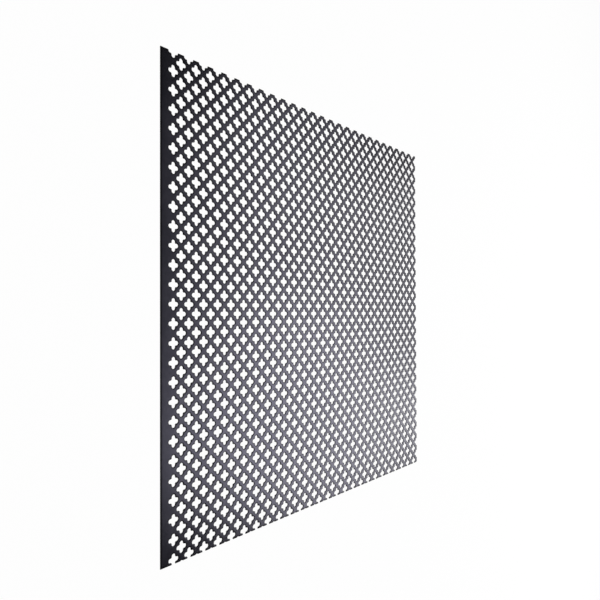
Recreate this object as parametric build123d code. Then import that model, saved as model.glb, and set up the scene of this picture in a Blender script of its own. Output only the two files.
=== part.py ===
from build123d import *
import math
import os

# Perforated sheet with clover-shaped holes, one punched and sheared piece.
# Own frame: X across the sheet, Y along its sheared side, Z through the gauge;
# origin at the middle of the underside.

# ---- the sheared blank, millimetres ----
sheet_width = 304.8      # X, plain side to the side sheared through holes
sheet_depth = 303.6      # Y
gauge = 0.508            # sheet thickness

# ---- the perforation ----
row_pitch = 5.785        # one row, or column, of hole centres to the next
side_margin = 9.25       # plain side edge to the first column of hole centres
end_margin = 2.60        # near end edge to the first row of hole centres
lobe_offset = 2.26       # hole centre to the centre of a lobe
lobe_radius = 1.34       # round end of a lobe
web_radius = 0.76        # rounded tip of metal that points in between two lobes

rows_per_panel = 3       # diagonal rows of holes drawn in one panel of the sheet
seam_tolerance = 1e-6    # how near a face's middle lies to the line it was cut along


# ---- one clover: four lobe arcs joined by four web arcs, all tangent ----
reach = lobe_offset + lobe_radius
arc_sum = lobe_radius + web_radius
web_centre = (lobe_offset + math.sqrt(2 * arc_sum**2 - lobe_offset**2)) / 2
tangent = (
    lobe_offset + (web_centre - lobe_offset) * lobe_radius / arc_sum,
    web_centre * lobe_radius / arc_sum,
)
web_tip = web_centre - web_radius / math.sqrt(2)


def quarter_turn(point, times):
    for _ in range(times):
        point = (-point[1], point[0])
    return point


def clover(x, y):
    """Closed outline of the hole whose centre is at x, y."""

    def place(point, times):
        u, v = quarter_turn(point, times)
        return (x + u, y + v)

    arcs = []
    for k in range(4):
        start = place((tangent[0], -tangent[1]), k)
        end = place(tangent, k)
        following = place((tangent[1], tangent[0]), k)
        arcs.append(Edge.make_three_point_arc(start, place((reach, 0), k), end))
        arcs.append(
            Edge.make_three_point_arc(end, place((web_tip, web_tip), k), following)
        )
    return Wire(arcs)


# ---- where the holes are: staggered rows, every second place of a square grid ----
x_first = -sheet_width / 2 + side_margin
y_first = -sheet_depth / 2 + end_margin
last_column = math.floor((sheet_width / 2 + reach - x_first) / row_pitch)
first_row = -math.floor((y_first + sheet_depth / 2 + reach) / row_pitch)
last_row = math.floor((sheet_depth / 2 + reach - y_first) / row_pitch)

whole_holes, edge_holes = {}, {}    # keyed by diagonal row
for column in range(last_column + 1):
    for row in range(first_row, last_row + 1):
        if (column + row) % 2:
            continue
        x, y = x_first + column * row_pitch, y_first + row * row_pitch
        within = (
            abs(x) + reach < sheet_width / 2 and abs(y) + reach < sheet_depth / 2
        )
        group = whole_holes if within else edge_holes
        group.setdefault((column + row) // 2, []).append((x, y))


# ---- the blank, divided along the straight lands between diagonal rows ----
def keep_side(corners, offset, side):
    """Part of a convex outline where side * (x + y) <= side * offset."""
    kept = []
    for (x0, y0), (x1, y1) in zip(corners, corners[1:] + corners[:1]):
        a, b = side * (x0 + y0 - offset), side * (x1 + y1 - offset)
        if a <= 0:
            kept.append((x0, y0))
        if a * b < 0:
            t = a / (a - b)
            kept.append((x0 + t * (x1 - x0), y0 + t * (y1 - y0)))
    return kept


half_w, half_d = sheet_width / 2, sheet_depth / 2
blank = [(-half_w, -half_d), (half_w, -half_d), (half_w, half_d), (-half_w, half_d)]
diagonals = sorted(set(whole_holes) | set(edge_holes))
groups = [
    diagonals[k : k + rows_per_panel] for k in range(0, len(diagonals), rows_per_panel)
]


def land_after(diagonal):
    """x + y along the middle of the land that follows a diagonal row."""
    return x_first + y_first + (2 * diagonal + 1) * row_pitch


to_land = 0.45 * row_pitch    # each way from a hole's centre to the land beside it
skin = []                     # every outer face of the sheet, and the holes' walls
for number, group in enumerate(groups):
    corners = blank
    seams = []
    if number > 0:
        seams.append(land_after(group[0] - 1))
        corners = keep_side(corners, seams[-1], -1)
    if number < len(groups) - 1:
        seams.append(land_after(group[-1]))
        corners = keep_side(corners, seams[-1], 1)
    if len(corners) < 3:
        continue
    panel = Face(Wire.make_polygon(corners, close=True))
    notches = [Face(clover(x, y)) for d in group for x, y in edge_holes.get(d, [])]
    pieces = panel.cut(*notches).faces() if notches else [panel]
    for piece in pieces:
        # A hole belongs to the piece that holds the land beside it.
        outlines = [
            clover(x, y)
            for d in group
            for x, y in whole_holes.get(d, [])
            if len(pieces) == 1
            or piece.is_inside((x + to_land, y + to_land, 0))
        ]
        solid = extrude(Face(piece.outer_wire(), outlines), gauge, dir=(0, 0, 1))
        for face in solid.faces():
            middle = face.center()
            cut_line = middle.X + middle.Y
            on_seam = any(abs(cut_line - seam) < seam_tolerance for seam in seams)
            if on_seam and face.geom_type == GeomType.PLANE:
                upright = abs(face.normal_at(middle).Z) < 0.5
                if upright:
                    continue        # metal runs on across this line
            skin.append(face)

perforated_sheet = Solid(Shell(skin))

os.makedirs("parts", exist_ok=True)
export_step(perforated_sheet, "parts/perforated_sheet.step", write_pcurves=False)
print(
    "whole holes", sum(len(v) for v in whole_holes.values()),
    "edge holes", sum(len(v) for v in edge_holes.values()),
    "faces", len(skin), "volume", round(perforated_sheet.volume, 1),
)
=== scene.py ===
import logging
import math
from dataclasses import dataclass, field
from enum import Enum
from typing import Any, Union

import bpy
from mathutils import Euler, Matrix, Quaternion, Vector


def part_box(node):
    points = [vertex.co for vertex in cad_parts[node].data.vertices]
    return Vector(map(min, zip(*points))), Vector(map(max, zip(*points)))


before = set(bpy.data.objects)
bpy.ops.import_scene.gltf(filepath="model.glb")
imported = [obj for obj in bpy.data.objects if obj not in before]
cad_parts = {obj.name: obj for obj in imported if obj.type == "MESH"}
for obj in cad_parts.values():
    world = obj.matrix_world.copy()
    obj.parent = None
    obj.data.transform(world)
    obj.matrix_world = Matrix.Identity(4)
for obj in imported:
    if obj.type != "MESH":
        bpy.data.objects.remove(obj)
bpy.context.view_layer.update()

LOG = logging.getLogger("perforated_sheet")
MM = 0.001              # one millimetre, in metres
MIDDLE = 0.5            # what noise averages
FACE_UPRIGHT = 0.5      # the upright part of a normal is above this on a face, below on a wall
SMOOTH_MIN_SHARE = 1 / 6    # of its blend, which a smooth minimum takes off two equal values
WHITE = (1.0, 1.0, 1.0)

Colour = tuple[float, float, float]
Size = tuple[float, float, float]       # across, along and up
Operand = Union["Term", float, int]


class Ray(Enum):
    """Kinds of ray that see a white backdrop."""

    CAMERA = "Is Camera Ray"
    GLOSSY = "Is Glossy Ray"
    TRANSMISSION = "Is Transmission Ray"


@dataclass(frozen=True)
class Cloud:
    """Cloudy noise: the size of its blotches in millimetres, and how many finer layers it has."""

    size: Size
    layers: float


class Term:
    """A shader value that takes part in arithmetic; each operation adds its Math node."""

    def __init__(self, graph: "Graph", socket: bpy.types.NodeSocket) -> None:
        """Keep the graph and the socket that carries the value."""
        self.graph = graph
        self.socket = socket

    def _math(self, operation: str, *values: Operand, clamp: bool = False) -> "Term":
        """Add one Math node.

        Args:
            operation: the Math node's operation.
            values: its inputs in order.
            clamp: whether the result is held between 0 and 1.

        Returns:
            The node's result.
        """
        settings = {"operation": operation, "use_clamp": clamp}
        return self.graph.node("ShaderNodeMath", settings, dict(enumerate(values)))

    def __add__(self, other: Operand) -> "Term":
        """Return self + other."""
        return self._math("ADD", self, other)

    __radd__ = __add__

    def __sub__(self, other: Operand) -> "Term":
        """Return self - other."""
        return self._math("SUBTRACT", self, other)

    def __rsub__(self, other: Operand) -> "Term":
        """Return other - self."""
        return self._math("SUBTRACT", other, self)

    def __mul__(self, other: Operand) -> "Term":
        """Return self * other."""
        return self._math("MULTIPLY", self, other)

    __rmul__ = __mul__

    def __truediv__(self, other: Operand) -> "Term":
        """Return self / other."""
        return self._math("DIVIDE", self, other)

    def __abs__(self) -> "Term":
        """Return the size of the value."""
        return self._math("ABSOLUTE", self)

    def __gt__(self, other: Operand) -> "Term":
        """Return 1 where self is greater than other, else 0."""
        return self._math("GREATER_THAN", self, other)

    def __lt__(self, other: Operand) -> "Term":
        """Return 1 where self is less than other, else 0."""
        return self._math("LESS_THAN", self, other)

    def rounded(self) -> "Term":
        """Return the nearest whole number."""
        return self._math("ROUND", self)

    def root(self) -> "Term":
        """Return the square root."""
        return self._math("SQRT", self)

    def held(self) -> "Term":
        """Return the value held between 0 and 1."""
        return self._math("ADD", self, 0.0, clamp=True)

    def least(self, other: Operand, blend: float = 0.0) -> "Term":
        """Return the lesser of two values.

        Args:
            other: the other value.
            blend: how near the two are when one eases into the other.

        Returns:
            The lesser value.
        """
        if blend:
            return self._math("SMOOTH_MIN", self, other, blend)
        return self._math("MINIMUM", self, other)


class Graph:
    """The node tree of one material or of the world."""

    def __init__(self, owner: bpy.types.Material | bpy.types.World) -> None:
        """Clear the owner's tree and keep it."""
        owner.use_nodes = True
        self.tree = owner.node_tree
        self.tree.nodes.clear()

    def node(
        self,
        kind: str,
        settings: dict[str, Any] | None = None,
        inputs: dict[str | int, Any] | None = None,
        output: str | int = 0,
    ) -> Term | None:
        """Add one node.

        Args:
            kind: the node's type.
            settings: properties, set before the inputs; "stops" fills a colour ramp.
            inputs: a value, or a Term to link, for each named or numbered socket.
            output: the socket that the result reads.

        Returns:
            The chosen output, or None for a node that has none.
        """
        made = self.tree.nodes.new(kind)
        for name, value in (settings or {}).items():
            if name == "stops":
                self._fill_ramp(made.color_ramp, value)
            else:
                setattr(made, name, value)
        for name, value in (inputs or {}).items():
            if isinstance(value, Term):
                self.tree.links.new(value.socket, made.inputs[name])
            else:
                made.inputs[name].default_value = value
        return Term(self, made.outputs[output]) if len(made.outputs) else None

    @staticmethod
    def _fill_ramp(ramp: bpy.types.ColorRamp, stops: list[tuple[float, float]]) -> None:
        """Set a grey ramp's stops.

        Args:
            ramp: the ramp.
            stops: pairs of a place from 0 to 1 and a brightness.
        """
        while len(ramp.elements) < len(stops):
            ramp.elements.new(1.0)
        for element, (place, level) in zip(ramp.elements, stops):
            element.position = place
            element.color = (level, level, level, 1.0)

    def axes(self, vector: Term) -> tuple[Term, Term, Term]:
        """Return the X, Y and Z parts of a vector."""
        split = self.node("ShaderNodeSeparateXYZ", inputs={"Vector": vector})
        return tuple(Term(self, part) for part in split.socket.node.outputs)

    def noise(self, point: Term, cloud: Cloud) -> Term:
        """Return cloudy noise from 0 to 1 at a point in millimetres."""
        fine = tuple(1 / size for size in cloud.size)
        scaled = self.node("ShaderNodeVectorMath", {"operation": "MULTIPLY"}, {0: point, 1: fine})
        inputs = {"Vector": scaled, "Scale": 1.0, "Detail": cloud.layers}
        return self.node("ShaderNodeTexNoise", inputs=inputs)

    def blended(self, share: Term, first: Term | Colour, second: Term | Colour) -> Term:
        """Mix two colours.

        Args:
            share: how much of the second colour, from 0 to 1.
            first: the colour where share is 0.
            second: the colour where share is 1.

        Returns:
            The mixed colour.
        """
        inputs = {"Factor": share}
        for slot, colour in ((6, first), (7, second)):
            inputs[slot] = colour if isinstance(colour, Term) else (*colour, 1.0)
        return self.node("ShaderNodeMix", {"data_type": "RGBA"}, inputs, output=2)


@dataclass(frozen=True)
class PunchPattern:
    """The staggered clover holes of the sheet, in millimetres."""

    row_pitch: float = 5.785      # one row, or column, of hole centres to the next
    side_margin: float = 9.25     # plain side edge to the first column of hole centres
    end_margin: float = 2.60      # near end edge to the first row of hole centres
    lobe_offset: float = 2.26     # hole centre to the centre of a lobe
    lobe_radius: float = 1.34     # round end of a lobe
    web_radius: float = 0.76      # rounded tip of metal between two lobes

    def _tip_blend(self) -> float:
        """Return the blend of two lobes' distances that leaves the rounded tip between them."""
        arcs = self.lobe_radius + self.web_radius
        web = (self.lobe_offset + math.sqrt(2 * arcs**2 - self.lobe_offset**2)) / 2
        tip = web - self.web_radius / math.sqrt(2)
        beyond = math.hypot(tip - self.lobe_offset, tip) - self.lobe_radius
        return beyond / SMOOTH_MIN_SHARE

    def rim_distance(self, graph: Graph, across: Term, along: Term) -> Term:
        """Measure from a point on the face to the nearest hole's rim.

        Args:
            graph: the tree to add to.
            across: distance from the plain side edge.
            along: distance from the near end edge.

        Returns:
            The distance in millimetres, large over the plain border.
        """
        step = 2 * self.row_pitch
        x, y = across - self.side_margin, along - self.end_margin
        rising, falling = (x + y) / step, (x - y) / step
        row, other_row = rising.rounded(), falling.rounded()
        before_first = -0.5       # columns of holes are whole numbers from 0 up
        plain_border = row + other_row < before_first
        u, v = rising - row, falling - other_row
        x, y = abs((u + v) * self.row_pitch), abs((u - v) * self.row_pitch)
        lobes = []
        for near, far in ((x, y), (y, x)):
            over = near - self.lobe_offset
            lobes.append((over * over + far * far).root() - self.lobe_radius)
        return lobes[0].least(lobes[1], self._tip_blend()) + plain_border * step


@dataclass(frozen=True)
class Spot:
    """A point of the sheet, as shader values in millimetres."""

    point: Term               # from the sheet's lowest corner
    across: Term              # from the plain side
    along: Term               # from the near end
    height: Term              # above the underside
    rim: Term                 # to the nearest rim of a hole, or to an edge
    face: Term                # 1 on the two faces, 0 on the walls


@dataclass(frozen=True)
class BlackFinish:
    """Black satin anodising over rolled aluminium, thinner at the rims and dull in the holes, with
    painted shade in a band along the rims and edges and on the walls in the holes.

    Lengths are in millimetres.
    """

    deep: Colour = (0.0350, 0.0337, 0.0449)     # the coat at its darkest
    pale: Colour = (0.0445, 0.0431, 0.0560)     # and at its palest
    worn: Colour = (0.080, 0.079, 0.088)        # where it is rubbed thin on a rim
    rim: Colour = (0.006, 0.006, 0.007)         # painted shade where it turns down into a hole
    painted_shade_wall: Colour = (0.004, 0.004, 0.0045)       # inside a hole, darkened far below the coat as painted shade
    contrast: float = 3.0         # how sharply the coat turns from deep to pale
    roughness: float = 0.30
    wall_roughness: float = 0.55
    mottle: float = 0.05          # how far roughness drifts
    drift_share: float = 2.0      # of the mottle, to 1 of the rolling lines

    blotch: Cloud = Cloud((34.0, 34.0, 34.0), 2.0)              # wide drifts of the coat
    bloom: Cloud = Cloud((5.0, 5.0, 5.0), 3.0)                  # small ones
    grain: Cloud = Cloud((0.35, 0.35, 0.35), 1.0)               # etched grain
    streak: Cloud = Cloud((0.45, 40.0, 0.45), 2.0)              # rolling lines
    tear: Cloud = Cloud((1 / 12, 1 / 12, 1 / 1.5), 1.0)         # upright lines on a torn wall
    grain_height: float = 0.0080
    streak_height: float = 0.0050
    tear_height: float = 0.006
    torn_share: float = 0.45      # the part of the gauge that tears; the rest is cut smooth

    roll_width: float = 0.50      # rounding that the punch leaves at a rim
    roll_depth: float = 0.14
    painted_shade_width: float = 0.88     # painted shade in a darker band along a rim
    edge_share: float = 0.6       # of an edge's distance, which makes its bands of painted shade and wear wider than a rim's
    wear_width: float = 0.12      # coat rubbed thin along a rim
    wear_amount: float = 0.5
    wear_contrast: float = 5.0    # how sharply the wear breaks off along a rim
    wear_level: float = 0.3       # wear where the small drifts are at their middle
    end_lean: tuple[float, float] = (0.75, 26.0)    # drop and reach of the near end's lean
    side_lean: tuple[float, float] = (0.15, 14.0)   # and of the plain side's

    def build(self, low: Vector, high: Vector, pattern: PunchPattern) -> bpy.types.Material:
        """Make the finish.

        Args:
            low: the sheet's lowest corner, in metres.
            high: its highest corner.
            pattern: its holes.

        Returns:
            The material.
        """
        material = bpy.data.materials.new("black_finish")
        graph = Graph(material)
        size = (high - low) / MM
        spot = self._spot(graph, low, size, pattern)
        blooms = graph.noise(spot.point, self.bloom)
        drift = (graph.noise(spot.point, self.blotch) + blooms) / 2
        streaks = graph.noise(spot.point, self.streak)
        torn = graph.noise(spot.point, self.tear)

        uneven = self.drift_share * (drift - MIDDLE) + (streaks - MIDDLE)
        satin = self.roughness + self.mottle * uneven
        dull = self.wall_roughness + self.mottle * (torn - MIDDLE)
        inputs = {
            "Base Color": self._colour(graph, spot, drift, blooms),
            "Metallic": 1.0,
            "Roughness": spot.face * satin + (1 - spot.face) * dull,
            "Normal": self._bump(graph, spot, size.z, streaks, torn),
        }
        shader = graph.node("ShaderNodeBsdfPrincipled", inputs=inputs)
        graph.node("ShaderNodeOutputMaterial", inputs={"Surface": shader})
        return material

    def _spot(self, graph: Graph, low: Vector, size: Vector, pattern: PunchPattern) -> Spot:
        """Work out where a point of the sheet lies.

        Args:
            graph: the tree to add to.
            low: the sheet's lowest corner, in metres.
            size: its size, in millimetres.
            pattern: its holes.

        Returns:
            The point's distances from the sheet's edges and rims.
        """
        point = graph.node("ShaderNodeTexCoord", output="Object")
        settings = {"operation": "MULTIPLY_ADD"}
        inputs = {0: point, 1: (1 / MM,) * 3, 2: tuple(-value / MM for value in low)}
        point = graph.node("ShaderNodeVectorMath", settings, inputs)
        across, along, height = graph.axes(point)
        normal = graph.node("ShaderNodeNewGeometry", output="True Normal")
        face = abs(graph.axes(normal)[2]) > FACE_UPRIGHT
        edge = across.least(size.x - across).least(along.least(size.y - along))
        rim = pattern.rim_distance(graph, across, along).least(edge * self.edge_share)
        return Spot(point, across, along, height, rim, face)

    def _colour(self, graph: Graph, spot: Spot, drift: Term, blooms: Term) -> Term:
        """Colour the coat, its painted rim shade and wear, and the walls with their painted shade.

        Args:
            graph: the tree to add to.
            spot: the point to colour.
            drift: noise of the wide and small drifts together.
            blooms: noise of the small ones.

        Returns:
            The base colour.
        """
        mixed = (self.contrast * (drift - MIDDLE) + MIDDLE).held()
        coat = graph.blended(mixed, self.deep, self.pale)
        # painted shade: a band along each rim and edge that darkens the coat towards the rim
        # colour
        painted_shade = (1 - spot.rim / self.painted_shade_width).held()
        coat = graph.blended(painted_shade, coat, self.rim)
        broken = (self.wear_contrast * (blooms - MIDDLE) + self.wear_level).held()
        wear = (1 - spot.rim / self.wear_width).held() * broken
        coat = graph.blended(wear * self.wear_amount, coat, self.worn)
        # the walls take the wall colour, painted dark as shade inside the holes
        return graph.blended(spot.face, self.painted_shade_wall, coat)

    def _bump(self, graph: Graph, spot: Spot, gauge: float, streaks: Term, torn: Term) -> Term:
        """Raise the fine relief of the faces and the walls.

        Args:
            graph: the tree to add to.
            spot: the point to raise.
            gauge: the sheet's thickness.
            streaks: noise of the rolling lines.
            torn: noise of the torn walls.

        Returns:
            The bumped normal.
        """
        grain = graph.noise(spot.point, self.grain)
        turn = (1 - spot.rim / self.roll_width).held()
        side_lean = self._lean(spot.across, *self.side_lean)
        lean = self._lean(spot.along, *self.end_lean).least(side_lean)
        texture = self.grain_height * grain + self.streak_height * streaks
        top = texture - self.roll_depth * turn * turn + lean
        inside = (self.torn_share * gauge > spot.height) * torn * self.tear_height
        relief = spot.face * top + (1 - spot.face) * inside
        inputs = {"Height": relief, "Distance": MM, "Strength": 1.0}
        return graph.node("ShaderNodeBump", inputs=inputs)

    @staticmethod
    def _lean(inside: Term, drop: float, reach: float) -> Term:
        """Curve the face's shine down towards an edge.

        Args:
            inside: distance from the edge.
            drop: how far below the face the edge seems to be.
            reach: how far in from the edge the curve starts.

        Returns:
            The height that each point seems to have, zero and below.
        """
        near = (1 - inside / reach).held()
        return -drop * near * near


@dataclass
class PerforatedSheet:
    """The sheet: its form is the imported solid, which is dressed here."""

    node: str = "perforated_sheet"
    pattern: PunchPattern = field(default_factory=PunchPattern)
    finish: BlackFinish = field(default_factory=BlackFinish)

    def dress(self) -> None:
        """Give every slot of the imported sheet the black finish."""
        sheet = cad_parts[self.node]
        material = self.finish.build(*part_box(self.node), self.pattern)
        for slot in sheet.material_slots:
            slot.material = material
        LOG.info("%s: %d faces in the black finish", self.node, len(sheet.data.polygons))


@dataclass(frozen=True)
class Softbox:
    """A soft lamp that faces the middle of the sheet."""

    name: str
    bearing: float                # degrees round from +X
    height: float                 # degrees above the floor
    size: tuple[float, float]     # metres
    level: float                  # brightness of its face, where 1 is white
    tilt: float = 0.0             # degrees that it is turned about the line to the sheet
    distance: float = 1.2         # metres

    def hang(self, aim: Vector) -> None:
        """Hang the lamp round the point that it faces."""
        data = bpy.data.lights.new(self.name, "AREA")
        data.shape = "RECTANGLE"
        data.size, data.size_y = self.size
        data.energy = math.pi * self.level * self.size[0] * self.size[1]
        lamp = bpy.data.objects.new(self.name, data)
        bpy.context.scene.collection.objects.link(lamp)
        bearing, height = math.radians(self.bearing), math.radians(self.height)
        away = Vector((math.cos(bearing), math.sin(bearing), math.tan(height))).normalized()
        lamp.location = aim + away * self.distance
        facing = (-away).to_track_quat("-Z", "Y")
        turned = facing @ Quaternion((0, 0, 1), math.radians(self.tilt))
        lamp.rotation_euler = turned.to_euler()


@dataclass
class Studio:
    """Pale floor, soft lamps and the camera."""

    low: Vector
    high: Vector
    floor_half: float = 6.0       # metres
    floor_colour: Colour = (0.9, 0.9, 0.9)
    white_share: float = 0.95     # the rest of the floor's look is its own lit surface
    horizon: float = 1.0          # light of the low backdrop
    sky: float = 0.08             # light from above it
    fade: tuple[float, float] = (0.24, 0.40)    # sines of the heights where one turns to the other
    lamps: tuple[Softbox, ...] = (
        Softbox(
            "main_softbox", bearing=-20.4, height=37.7, size=(0.628, 0.650), level=5.5, tilt=-22.0
        ),
        Softbox("side_softbox", bearing=7.8, height=37.2, size=(0.456, 0.619), level=2.7),
        Softbox(
            "small_softbox", bearing=29.2, height=40.4, size=(0.343, 0.288), level=3.2, tilt=16.0
        ),
        Softbox("back_softbox", bearing=172.0, height=58.0, size=(0.8, 0.8), level=3.0),
    )
    lens: float = 33.644          # mm
    sensor: float = 36.0          # mm
    rise: float = 0.01092         # the lens's shift, as a share of the frame
    near_clip: float = 0.01       # metres
    stand: Size = (-0.34900, -0.00458, 0.27129)                    # metres
    turn: tuple[float, float, float] = (0.942, -49.949, -0.286)    # degrees

    def build(self) -> None:
        """Make the floor, the world, the lamps and the camera."""
        self._floor()
        self._world()
        for lamp in self.lamps:
            lamp.hang((self.low + self.high) / 2)
        self._camera()
        LOG.info("studio: %d soft lamps", len(self.lamps))

    def _floor(self) -> None:
        """Lay a pale floor under the sheet."""
        half, level = self.floor_half, self.low.z
        mesh = bpy.data.meshes.new("floor")
        corners = [(x * half, y * half, level) for x, y in ((-1, -1), (1, -1), (1, 1), (-1, 1))]
        mesh.from_pydata(corners, [], [(0, 1, 2, 3)])
        floor = bpy.data.objects.new("floor", mesh)
        bpy.context.scene.collection.objects.link(floor)
        material = bpy.data.materials.new("pale_floor")
        graph = Graph(material)
        seen = sum(graph.node("ShaderNodeLightPath", output=ray.value) for ray in Ray)
        colour = (*self.floor_colour, 1.0)
        matte = graph.node("ShaderNodeBsdfDiffuse", inputs={"Color": colour})
        white = graph.node("ShaderNodeEmission", inputs={"Color": (*WHITE, 1.0), "Strength": 1.0})
        inputs = {0: seen.held() * self.white_share, 1: matte, 2: white}
        mixed = graph.node("ShaderNodeMixShader", inputs=inputs)
        graph.node("ShaderNodeOutputMaterial", inputs={"Surface": mixed})
        mesh.materials.append(material)

    def _world(self) -> None:
        """Light from a low backdrop and dimly from above it, and show the camera white."""
        world = bpy.data.worlds.new("studio")
        bpy.context.scene.world = world
        graph = Graph(world)
        direction = graph.node("ShaderNodeTexCoord", output="Generated")
        height = graph.axes(direction)[2]
        stops = list(zip(self.fade, (self.horizon, self.sky)))
        colour = graph.node("ShaderNodeValToRGB", {"stops": stops}, {0: height})
        seen = graph.node("ShaderNodeLightPath", output=Ray.CAMERA.value)
        colour = graph.blended(seen, colour, WHITE)
        light = graph.node("ShaderNodeBackground", inputs={"Color": colour, "Strength": 1.0})
        graph.node("ShaderNodeOutputWorld", inputs={"Surface": light})

    def _camera(self) -> None:
        """Look down on the sheet from beyond its plain border."""
        data = bpy.data.cameras.new("camera")
        data.lens = self.lens
        data.sensor_width = self.sensor
        data.shift_y = self.rise
        data.clip_start = self.near_clip
        camera = bpy.data.objects.new("camera", data)
        bpy.context.scene.collection.objects.link(camera)
        camera.location = self.stand
        camera.rotation_euler = Euler([math.radians(angle) for angle in self.turn])
        bpy.context.scene.camera = camera


def main() -> None:
    """Dress the sheet and set up the studio."""
    logging.basicConfig(level=logging.INFO, format="%(name)s: %(message)s")
    sheet = PerforatedSheet()
    sheet.dress()
    Studio(*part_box(sheet.node)).build()
    bpy.context.scene.view_settings.view_transform = "Standard"


if __name__ == "__main__":
    main()
